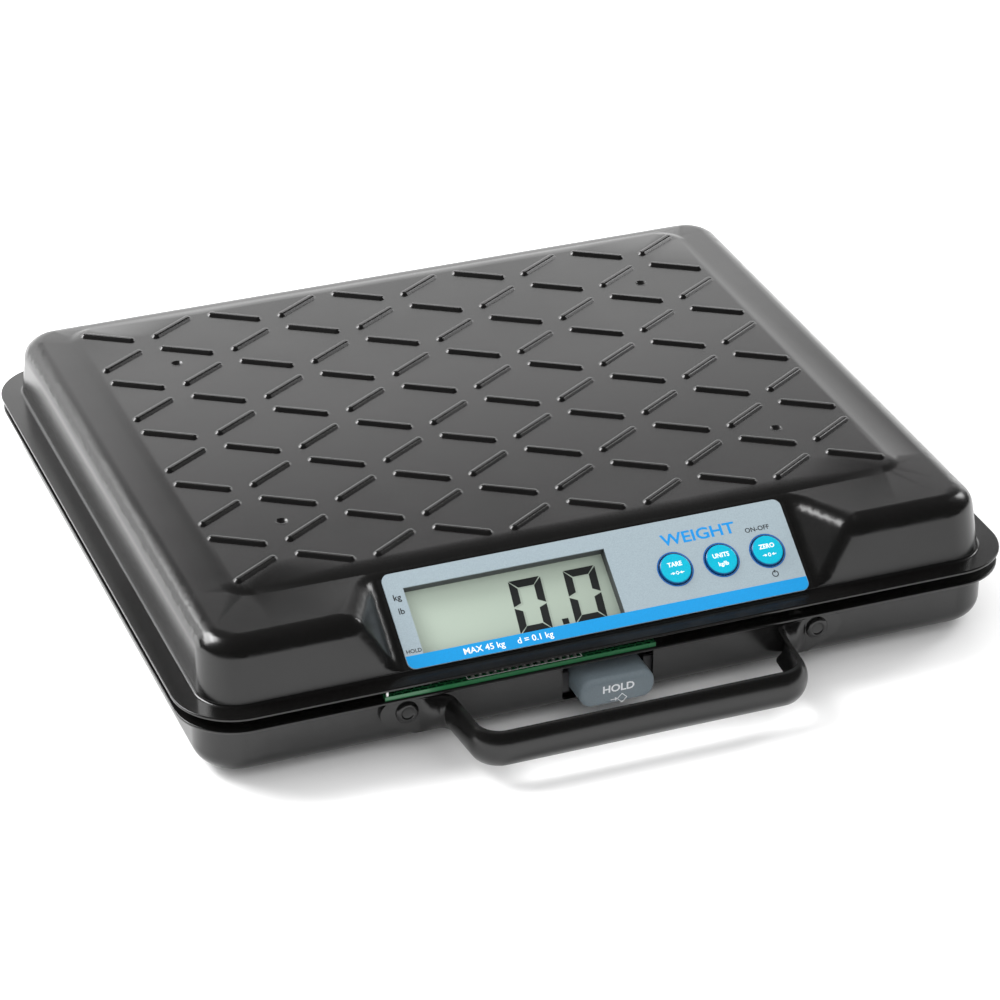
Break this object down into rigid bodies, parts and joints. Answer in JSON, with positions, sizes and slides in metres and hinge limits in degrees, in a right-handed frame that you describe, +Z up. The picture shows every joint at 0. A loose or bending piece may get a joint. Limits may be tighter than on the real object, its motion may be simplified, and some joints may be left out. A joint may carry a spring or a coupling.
{
  "type": "bench scale",
  "caption": "Low steel bench scale: ribbed load platform with a sloping display and key panel, a hold key in the front wall and a fixed strap handle.",
  "frame": {"origin": "on the ground, at the middle of the whole object's footprint, handle included", "axes": "+X to the right and +Y to the back as seen by a user at the display; +Z up"},
  "size_m": [0.3174, 0.306, 0.0559],
  "materials": {
    "black_paint": "gloss baked enamel on pressed steel",
    "rubber": "matt",
    "zinc_steel": "zinc plated",
    "cell_aluminium": "satin",
    "panel_grey": "satin printed film and moulding",
    "display": "polished reflective display",
    "key_blue": "gloss",
    "hold_slate": "satin",
    "circuit_board": "solder mask",
    "black_plastic": "fine spark texture",
    "elastomer": "matt",
    "cell_label": "printed sleeve"
  },
  "bodies": {
    "base": {"aa_cell_1": "cell_label", "aa_cell_2": "cell_label", "aa_cell_3": "cell_label", "aa_cell_4": "cell_label", "base_tray": "black_paint", "battery_box": "black_plastic", "battery_contacts": "zinc_steel", "battery_door_rails": "black_plastic", "carry_handle": "black_paint", "cell_mount_back_left": "cell_aluminium", "cell_mount_back_right": "cell_aluminium", "cell_mount_front_left": "cell_aluminium", "cell_mount_front_right": "cell_aluminium", "cell_screws": "zinc_steel", "edge_board": "circuit_board", "foot_nuts": "zinc_steel", "foot_screws": "zinc_steel", "handle_rivets": "black_paint", "hold_guide": "black_plastic", "hold_springs": "zinc_steel", "hold_switch": "black_plastic", "load_buttons": "zinc_steel", "load_cell_back_left": "cell_aluminium", "load_cell_back_right": "cell_aluminium", "load_cell_front_left": "cell_aluminium", "load_cell_front_right": "cell_aluminium", "load_pads": "rubber", "power_jack": "black_plastic", "rubber_foot_back_left": "rubber", "rubber_foot_back_right": "rubber", "rubber_foot_front_left": "rubber", "rubber_foot_front_right": "rubber"},
    "platform": {"top_cover": "black_paint", "channel_left": "zinc_steel", "channel_right": "zinc_steel", "hold_down_bosses": "zinc_steel", "hold_down_screws": "zinc_steel", "facet_studs": "zinc_steel", "stud_nuts": "zinc_steel", "face_panel": "panel_grey", "indicator_housing": "panel_grey", "display_glass": "display", "elastomer_strips": "elastomer", "display_holder": "black_plastic", "main_board": "circuit_board", "board_screws": "zinc_steel", "board_chips": "black_plastic", "key_switches": "black_plastic"},
    "hold": {"hold_button": "hold_slate", "hold_retainer": "black_plastic"},
    "door": {"battery_door": "black_plastic"},
    "tare_key": {"key_tare": "key_blue"},
    "units_key": {"key_units": "key_blue"},
    "zero_key": {"key_zero": "key_blue"}
  },
  "joints": [
    {"name": "platform_travel", "type": "slide", "parent": "base", "child": "platform", "axis": [0, 0, 1], "range_m": [-0.001, 0], "stiffness_N_per_m": 450000, "springref_m": 0.0001, "deforming": ["load_pads"]},
    {"name": "hold_press", "type": "slide", "parent": "base", "child": "hold", "axis": [0, 1, 0], "range_m": [0, 0.0025], "stiffness_N_per_m": 400, "deforming": ["hold_springs"]},
    {"name": "battery_door_slide", "type": "slide", "parent": "base", "child": "door", "axis": [0, -1, 0], "range_m": [0, 0.05]},
    {"name": "tare_press", "type": "slide", "parent": "platform", "child": "tare_key", "axis": [0, -0.58, 0.8147], "range_m": [-0.0006, 0], "stiffness_N_per_m": 1500},
    {"name": "units_press", "type": "slide", "parent": "platform", "child": "units_key", "axis": [0, -0.58, 0.8147], "range_m": [-0.0006, 0], "stiffness_N_per_m": 1500},
    {"name": "zero_press", "type": "slide", "parent": "platform", "child": "zero_key", "axis": [0, -0.58, 0.8147], "range_m": [-0.0006, 0], "stiffness_N_per_m": 1500}
  ]
}
